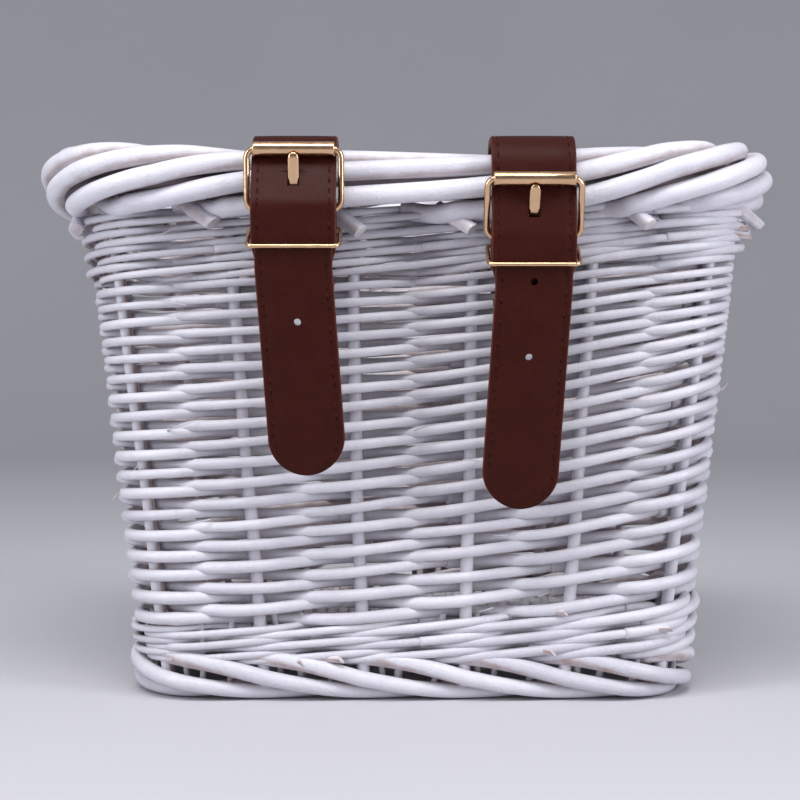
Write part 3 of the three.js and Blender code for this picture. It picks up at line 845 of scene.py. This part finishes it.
# How far the middles of the two layers lie from the pivot bar's axis.
WRAP = 2.8
OVER = 5.9

TIP_RADIUS = 13.25
TAIL_INWARD = 4
TAIL_HINGE = 8
TAIL_BEND = 5.5
STITCH_INSET = 2.3
HOLE_RADIUS = 1.25
HOLES_FROM_TIP = (53, 79)

BUCKLE_WIRE = 2.2
REACH = 20.5
PRONG_OUT = 3.6
PRONG_ANGLE = -math.atan2(PRONG_OUT, REACH)
PRONG_SWING = math.radians(10)
# The strap's slot for the prong, and the round room in it for the prong's eye.
SLOT_HALF = 2.05
SLOT_GAP = 0.95
EYE_ROOM = 4.35
EYE_HALF = 2.35
KEEPER_WIRE = 1.5
KEEPER_RISE = 5.5

# How far below the pivot bar each strap turns into the wall, where its keeper sits and
# where its tip hangs, and which way the tail leans.
STRAPS = [
    {"name": "left", "run": 18, "keeper": 12, "tip": 91, "inward": 1},
    {"name": "right", "run": 16, "keeper": 9, "tip": 94, "inward": -1},
]


def ahead(heading):
    """The direction of a heading in the route's plane."""
    return np.array([math.cos(heading), math.sin(heading)])


def left_of(heading):
    """The direction to the left of a heading, which is a strap's outer side."""
    return np.array([-math.sin(heading), math.cos(heading)])


def belt(circles, step=1.4):
    """A belt drawn clockwise round circles: its points, each with its heading."""
    headings = []
    for (a, ra), (b, rb) in zip(circles, circles[1:]):
        between = b - a
        angle = math.atan2(between[1], between[0])
        headings.append(angle - math.asin((ra - rb) / np.linalg.norm(between)))
    stations = []
    for i, (centre, radius) in enumerate(circles):
        into = headings[max(i - 1, 0)]
        out = headings[min(i, len(headings) - 1)]
        sweep = (into - out) % (2 * math.pi) if radius > 0 else 0
        steps = max(1, math.ceil(sweep * max(radius, 3) / step)) if radius > 0 else 0
        for k in range(steps + 1):
            heading = into - (sweep * k / steps if steps else 0)
            stations.append((centre + radius * left_of(heading), heading))
        if i + 1 < len(circles):
            start = stations[-1][0]
            following, next_radius = circles[i + 1]
            finish = following + next_radius * left_of(out)
            count = int(np.linalg.norm(finish - start) / step)
            for k in range(1, count):
                stations.append((start + (finish - start) * k / count, out))
    return stations


def route_of(strap):
    """The places that a strap's pieces share, and its stations from the folded end to the
    keeper."""
    place = joint_place(strap["name"] + "_buckle_tilt")
    axle = joint_place(strap["name"] + "_roller_spin")
    pivot = np.array([MIDDLE_Y - place[1], place[2]])
    roller = np.array([MIDDLE_Y - axle[1], axle[2]])
    up = unit(roller - pivot)
    out = np.array([up[1], -up[0]])
    rim_back = MIDDLE_Y - RIM_LOW[1]
    rim_level = RIM_HIGH[2] - RIM_ROUNDING

    def at(distance, away):
        """A place down the strap from the pivot bar, and away from the bar's axis."""
        return pivot + distance * ahead(HEADING) + away * left_of(HEADING)

    def buckle(along, away):
        """A place from the pivot bar towards the roller, and out of the buckle's plane."""
        return pivot + along * up + away * out

    def prong(lift, distance, away):
        """A place along the prong and out of its middle, when it is lifted by an angle."""
        angle = PRONG_ANGLE - lift
        return buckle(
            away * math.sin(angle) + distance * math.cos(angle),
            away * math.cos(angle) - distance * math.sin(angle))

    turn = at(strap["run"], WRAP - WALL_BEND)
    slot = turn[1] - WALL_BEND
    taper = FOOT_Y + (1 - FOOT_Y) * slot / RIM_LEVEL
    inside = min((HALF_DEPTH - WALL_THICKNESS / 2) * taper - 0.5, rim_back - RIM_WIDTH + 1.6)
    stations = belt([
        (at(FOLD, -WRAP), 0),
        (pivot, WRAP),
        (turn, WALL_BEND),
        (np.array([inside, slot + CREASE]), CREASE),
        (np.array([rim_back - RIM_WIDTH + RIM_ROUNDING, rim_level]), RIM_TURN),
        (np.array([rim_back - RIM_ROUNDING, rim_level]), RIM_TURN),
        (pivot, OVER),
        (at(strap["keeper"], OVER), 0),
    ])
    return {
        "x": place[0], "at": at, "pivot": pivot, "axle": axle, "out": out,
        "buckle": buckle, "prong": prong, "stations": stations}


def to_world(x, flat):
    """A point of the route's plane, at x across the basket."""
    return np.stack([x + 0 * flat[..., 0], MIDDLE_Y - flat[..., 0], flat[..., 1]], -1)


# --------------------
# Shapes of strap and buckle pieces


def strap_section():
    """Places across and through the strap, and 1 on its cut edges. The faces are flat with
    eased edges, and a shallow groove lies under each row of stitches."""
    half = STRAP_WIDTH / 2
    face = [
        (-half + 0.55, STRAP_HALF),
        (-half + 1.5, STRAP_HALF + 0.03),
        (-half + 2.0, STRAP_HALF - 0.12),
        (-half + 2.6, STRAP_HALF - 0.12),
        (-half + 3.2, STRAP_HALF + 0.05),
        (-half * 0.5, STRAP_HALF + 0.1),
        (0, STRAP_HALF + 0.12),
    ]
    top = face + [(-u, v) for u, v in reversed(face[:-1])]
    corner = [(half - 0.2, STRAP_HALF - 0.16), (half, STRAP_HALF - 0.55), (half, 0)]
    right = corner + [(u, -v) for u, v in reversed(corner[:-1])]
    bottom = [(u, -v) for u, v in reversed(top)]
    left = [(-u, -v) for u, v in right]
    edge = [0] * len(top) + [1] * len(right) + [0] * len(bottom) + [1] * len(left)
    return np.array(top + right + bottom + left), np.array(edge, float)


STRAP_SECTION, STRAP_EDGE = strap_section()


def ribbon(name, x, stations, widths):
    """A strip of leather along stations. x and widths are its middle and width at each."""
    rings = []
    for (point, heading), width, middle in zip(
            stations, widths, np.broadcast_to(x, len(stations))):
        flat = point + STRAP_SECTION[:, 1:] * left_of(heading)
        rings.append(to_world(middle + STRAP_SECTION[:, 0] * (width / STRAP_WIDTH), flat))
    edges = {"edge": np.tile(STRAP_EDGE, len(stations))}
    return solid(name, rings, LEATHER, edges, 40)


def carve(made, tools):
    """Cuts closed tool meshes out of a piece."""
    for tool in tools:
        cutter = made.modifiers.new("cut", "BOOLEAN")
        cutter.operation = "DIFFERENCE"
        cutter.solver = "EXACT"
        cutter.object = tool
    bpy.context.view_layer.update()
    shown = made.evaluated_get(bpy.context.evaluated_depsgraph_get())
    mesh = bpy.data.meshes.new_from_object(shown)
    made.modifiers.clear()
    made.data = mesh
    for tool in tools:
        bpy.data.objects.remove(tool)
    made.data.shade_smooth()
    made.data.set_sharp_from_angle(angle=math.radians(40))


def prism(name, x, corners, half_width):
    """A closed tool: corners in the route's plane, drawn out across the strap."""
    flat = np.array(corners)
    return solid(name, [to_world(x + side, flat) for side in (-half_width, half_width)], LEATHER)


def punch(x, point):
    """A round tool through the strap's outer layer at a point."""
    angles = np.arange(28) * 2 * math.pi / 28
    rings = []
    for depth in (-STRAP_HALF - 1, STRAP_HALF + 1):
        flat = point + depth * left_of(HEADING)
        flat = flat + HOLE_RADIUS * np.sin(angles)[:, None] * ahead(HEADING)
        rings.append(to_world(x + HOLE_RADIUS * np.cos(angles), flat))
    return solid("hole tool", rings, LEATHER)


def stitch_rods(x, lines):
    """Short stitches along lines of (across, point, heading), on the strap's outer face.
    Each is 2.7 mm long, and they are 4 mm apart."""
    radius = np.array([0.22, 0.33, 0.36, 0.33, 0.22])
    dip = np.array([-0.25, 0.02, 0.06, 0.02, -0.25])[:, None]
    rods = []
    for line in lines:
        across = np.array([c for c, point, heading in line])
        flat = np.array([point for c, point, heading in line])
        lift = np.array([left_of(heading) for c, point, heading in line])
        strides = np.linalg.norm(np.diff(flat, axis=0), axis=1) + np.abs(np.diff(across))
        way = np.concatenate([[0], np.cumsum(strides)])
        for start in np.arange(1.0, way[-1] - 3.0, 4.0):
            t = start + np.linspace(0, 2.7, 5)
            c = np.interp(t, way, across)
            p = np.stack([np.interp(t, way, flat[:, k]) for k in range(2)], -1)
            n = np.stack([np.interp(t, way, lift[:, k]) for k in range(2)], -1)
            points = to_world(x + c, p + n * (STRAP_HALF - 0.16 + dip))
            across_plane = np.stack([0 * c, -n[:, 0], n[:, 1]], -1)
            rods.append(rod(points, radius, across_plane))
    return rods


def rounded_ring(wide, high, corner, arc=9):
    """A rounded rectangle on its lower side, as (across, along) pairs 3 mm apart or less."""
    half = wide / 2
    points = []
    for cx, cy, start in (
        (half - corner, high - corner, 0),
        (corner - half, high - corner, 90),
        (corner - half, corner, 180),
        (half - corner, corner, 270),
    ):
        for degrees in np.linspace(start, start + 90, arc):
            a = math.radians(degrees)
            points.append((cx + corner * math.cos(a), cy + corner * math.sin(a)))
    dense = []
    for a, b in zip(points, points[1:] + points[:1]):
        count = max(1, int(math.dist(a, b) / 3.0))
        for k in range(count):
            dense.append((a[0] + (b[0] - a[0]) * k / count, a[1] + (b[1] - a[1]) * k / count))
    return np.array(dense)


def bent_wire(name, x, ring, place, normal, thickness, sides):
    """A wire bent to a ring of (across, along) pairs. place gives each one's point."""
    flat = np.array([place(along) for across, along in ring])
    wire = rod(to_world(x + ring[:, 0], flat), thickness / 2, normal, closed=True)
    return rods_piece(name, [wire], GOLD, sides=sides)


def lathe(name, centre, axis_x, profile, sides=40):
    """A turned piece about a line along X: profile is (x, radius) pairs, closed."""
    angles = np.arange(sides) * 2 * math.pi / sides
    rings = [
        np.stack([
            np.full(sides, axis_x + along),
            centre[0] + radius * np.cos(angles),
            centre[1] + radius * np.sin(angles)], -1)
        for along, radius in profile]
    faces = tube_faces(len(profile), sides, closed=True)
    return face_outwards(piece(name, np.concatenate(rings), faces, GOLD, sharp=45))


# --------------------
# The pieces of a strap and its buckle


def strap_loop(strap, route):
    """From the folded end round the bar, through the wall and over the rim. It is a little
    narrower where it goes through the wall, and slotted for the prong and its eye."""
    name, x, prong = strap["name"], route["x"], route["prong"]
    keeper_level = route["at"](strap["keeper"], 0)[1]
    narrow = [keeper_level - 6, keeper_level - 1]
    widths = [
        np.interp(point[1], narrow, [WALL_PASS_WIDTH, STRAP_WIDTH])
        for point, heading in route["stations"]]
    loop = ribbon(name + "_strap_loop", x, route["stations"], widths)
    near, far = 2.6, 18
    corners = [
        prong(PRONG_SWING, near, SLOT_GAP), prong(PRONG_SWING, far, SLOT_GAP),
        prong(0, far, -SLOT_GAP), prong(0, near, -SLOT_GAP)]
    eye = [
        route["pivot"] + EYE_ROOM * np.array([math.cos(t), math.sin(t)])
        for t in np.linspace(0, 2 * math.pi, 33)[:-1]]
    tools = [prism("slot tool", x, corners, SLOT_HALF), prism("eye tool", x, eye, EYE_HALF)]
    second_hole = strap["tip"] - HOLES_FROM_TIP[1]
    if second_hole < strap["keeper"]:
        tools.append(punch(x, route["at"](second_hole, OVER)))
    carve(loop, tools)
    dress(loop, "basket", "brown_leather", name + "_strap")


def hang(made, strap, route):
    """Bakes made's placement into its mesh and hides the CAD tail. Two points a short length
    either side of the tail's hinge below the keeper are worked out but not used.
    """
    hinge = strap["keeper"] + TAIL_HINGE
    start, end = [
        (to_world(route["x"], route["at"](hinge + reach, OVER)) * MM).tolist()
        for reach in (-TAIL_BEND, TAIL_BEND)]
    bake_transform(made)
    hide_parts(strap["name"] + "_strap_tail")


def strap_tail(strap, route):
    """The free end, from under the keeper to its round tip, and all the strap's stitches."""
    name, x, at = strap["name"], route["x"], route["at"]
    keeper, length = strap["keeper"], strap["tip"]
    hinge = keeper + TAIL_HINGE
    shoulder = length - TIP_RADIUS
    bend = shoulder + TIP_RADIUS * np.sin(np.linspace(0, math.pi / 2, 18))
    distances = np.concatenate([np.arange(keeper, shoulder, 1.4), bend[:-1], [length - 0.02]])

    def middle(d):
        """The tail's middle line drifts towards the basket's middle."""
        share = np.clip((np.asarray(d) - hinge) / (shoulder - hinge), 0, 1)
        return x + strap["inward"] * TAIL_INWARD * share

    span = np.interp(
        distances, [keeper, hinge, shoulder], [STRAP_WIDTH, STRAP_WIDTH, 2 * TIP_RADIUS])
    past = np.clip(distances - shoulder, 0, TIP_RADIUS)
    span = np.minimum(span, 2 * np.sqrt(np.maximum(TIP_RADIUS**2 - past * past, 0.3)))
    stations = [(at(d, OVER), HEADING) for d in distances]
    tail = ribbon(name + "_strap_tail_leather", middle(distances), stations, span)
    carve(tail, [
        punch(float(middle(length - back)), at(length - back, OVER))
        for back in HOLES_FROM_TIP if length - back > keeper + 2])
    hang(tail, strap, route)

    # Stitches run down both edges and round the tip.
    edge = STRAP_WIDTH / 2 - STITCH_INSET
    sides = [[(side * edge, *station) for station in route["stations"]] for side in (-1, 1)]
    seam = rods_piece(name + "_strap_stitches", stitch_rods(x, sides), THREAD, sides=6, sharp=80)
    dress(seam, "basket", "brown_leather", name + "_strap")
    down = [(d, width / 2 - STITCH_INSET) for d, width in zip(distances, span) if d < shoulder]
    radius = TIP_RADIUS - STITCH_INSET
    turn = [
        (shoulder + radius * math.sin(a), radius * math.cos(a))
        for a in np.linspace(0, math.pi, 40)]
    row = down + turn + [(d, -across) for d, across in reversed(down)]
    line = [(float(middle(d)) + across, at(d, OVER), HEADING) for d, across in row]
    tail_seam = rods_piece(
        name + "_tail_stitches", stitch_rods(0, [line]), THREAD, sides=6, sharp=80)
    hang(tail_seam, strap, route)


def buckle_wire(strap, route):
    """The buckle's frame, a bent wire with its ends closed under the roller."""
    out = route["out"]
    ring = rounded_ring(STRAP_WIDTH + 1 + BUCKLE_WIRE, REACH, 3.2)
    normal = np.array([0, -out[0], out[1]])
    made = bent_wire(
        strap["name"] + "_buckle_wire", route["x"], ring,
        lambda along: route["buckle"](along, 0), normal, BUCKLE_WIRE + 0.04, 18)
    dress(made, strap["name"] + "_buckle", "gold_metal", strap["name"] + "_buckle_frame")


def roller_tube(strap, route):
    """The roller, a rolled tube with eased ends."""
    half = STRAP_WIDTH / 2 - 0.5
    profile = [
        (-half, 1.6), (-half, 2.1), (-half + 0.15, 2.38), (-half + 0.45, 2.5),
        (half - 0.45, 2.5), (half - 0.15, 2.38), (half, 2.1), (half, 1.6)]
    axle = route["axle"]
    tube = lathe(strap["name"] + "_buckle_tube", axle[1:], route["x"], profile)
    dress(tube, strap["name"] + "_roller", "gold_metal", strap["name"] + "_buckle_roller")


def prong_tongue(strap, route):
    """The prong: an eye round the bar and a tongue with eased edges and a round tip."""
    length = math.hypot(PRONG_OUT, REACH) - 1.2
    eye = [
        (2.0 * math.sin(t), 2.0 * math.cos(t))
        for t in np.linspace(0.35, 2 * math.pi - 0.35, 22)]
    tongue = [(-0.05, d) for d in np.linspace(2.2, length - 3.2, 12)]
    tip = [(0.0, length - 1.9), (0.0, length - 1.1), (-0.05, length - 0.5), (-0.1, length - 0.1)]
    path = np.array(eye[1:][::-1] + tongue + tip)
    bends = len(eye) - 1
    wides = [3.5] * bends + [3.7] * len(tongue) + [3.6, 3.2, 2.4, 1.2]
    thicks = [1.3] * bends + [1.5] * len(tongue) + [1.5, 1.4, 1.1, 0.6]
    angles = (np.arange(12) + 0.5) * 2 * math.pi / 12
    across = np.copysign(np.abs(np.cos(angles)) ** 0.45, np.cos(angles)) / 2
    through = np.copysign(np.abs(np.sin(angles)) ** 0.45, np.sin(angles)) / 2
    rings = []
    for place, step, wide, thick in zip(path, unit(np.gradient(path, axis=0)), wides, thicks):
        side = np.array([step[1], -step[0]])
        section = place + thick * through[:, None] * side
        flat = np.array([route["prong"](0, distance, away) for away, distance in section])
        rings.append(to_world(route["x"] + wide * across, flat))
    made = solid(strap["name"] + "_buckle_tongue", rings, GOLD, sharp=40)
    dress(made, strap["name"] + "_prong", "gold_metal", strap["name"] + "_buckle_prong")


def keeper_loop(strap, route):
    """The wire keeper, which sits higher behind the strap than in front of it."""
    off = STRAP_HALF + 0.35 + KEEPER_WIRE / 2
    front = route["at"](strap["keeper"], OVER + off)
    back = route["at"](strap["keeper"] - KEEPER_RISE, -WRAP - off)
    way = unit(front - back)
    ring = rounded_ring(STRAP_WIDTH + 0.7 + KEEPER_WIRE, np.linalg.norm(front - back), 2.2)
    normal = np.array([0, way[1], way[0]])
    made = bent_wire(
        strap["name"] + "_keeper_wire", route["x"], ring,
        lambda along: back + along * way, normal, KEEPER_WIRE, 14)
    dress(made, strap["name"] + "_keeper", "gold_metal", strap["name"] + "_strap_keeper")


for strap in STRAPS:
    route = route_of(strap)
    for make in (strap_loop, strap_tail, buckle_wire, roller_tube, prong_tongue, keeper_loop):
        make(strap, route)

# --------------------
# Floor, light and camera


def stage_material():
    """Matt pale paper, with a trace of unevenness."""
    material, tree, shader = new_material("pale paper")
    place = add(tree, "TexCoord").outputs["Object"]
    mottle = add(tree, "TexNoise", {"Vector": place, "Scale": 3, "Detail": 2})
    tone = add(
        tree, "Mix",
        {0: mottle, 6: linear("#bdbdc2"), 7: linear("#c5c5ca")}, data_type="RGBA")
    give(tree, shader, {"Base Color": tone.outputs[2], "Roughness": 0.85})
    return material


def studio_floor():
    """A round floor that curves up into a wall far from the basket on every side."""
    profile = [(600.0, 0.0), (1300.0, 0.0)]
    profile += [(1300 + 900 * math.sin(a), 900 - 900 * math.cos(a))
                for a in np.linspace(0.1, math.pi / 2, 14)]
    profile.append((2200.0, 2600.0))
    sides = 96
    angles = np.arange(sides) * 2 * math.pi / sides
    vertices = [
        (radius * math.cos(a), radius * math.sin(a), z)
        for radius, z in profile for a in angles]
    faces = [list(range(sides))] + tube_faces(len(profile), sides)
    piece("studio_floor", vertices, faces, stage_material(), sharp=60)


def area_light(name, place, aim, size, power, colour):
    """A soft rectangular light at place, turned to aim."""
    light = bpy.data.lights.new(name, "AREA")
    light.shape = "RECTANGLE"
    light.size, light.size_y = size
    light.energy = power
    light.color = linear(colour)[:3]
    made = bpy.data.objects.new(name, light)
    made.location = place
    made.rotation_euler = (Vector(aim) - Vector(place)).to_track_quat("-Z", "Y").to_euler()
    bpy.context.scene.collection.objects.link(made)


studio_floor()
area_light("key light", (-0.1, -0.6, 1.1), (0, 0, 0.16), (0.9, 0.4), 10, "#fffefd")
area_light("left light", (-0.9, -0.62, 0.5), (0, 0, 0.16), (0.35, 0.8), 6.5, "#fafaff")
area_light("right light", (0.9, -0.62, 0.5), (0, 0, 0.16), (0.35, 0.8), 7.5, "#fafaff")

world = bpy.data.worlds.new("studio air")
world.use_nodes = True
background = world.node_tree.nodes["Background"]
give(world.node_tree, background, {"Color": linear("#eceef4"), "Strength": 0.55})
bpy.context.scene.world = world
bpy.context.scene.view_settings.view_transform = "Standard"

lens = bpy.data.cameras.new("camera")
lens.sensor_width = 36
lens.lens = 79.2
lens.clip_start = 0.01
camera = bpy.data.objects.new("camera", lens)
camera.location = (-0.0048, -0.7 + MIDDLE_Y * MM, 0.132)
camera.rotation_euler = (math.radians(90 - 2.1), 0, 0)
bpy.context.scene.collection.objects.link(camera)
bpy.context.scene.camera = camera
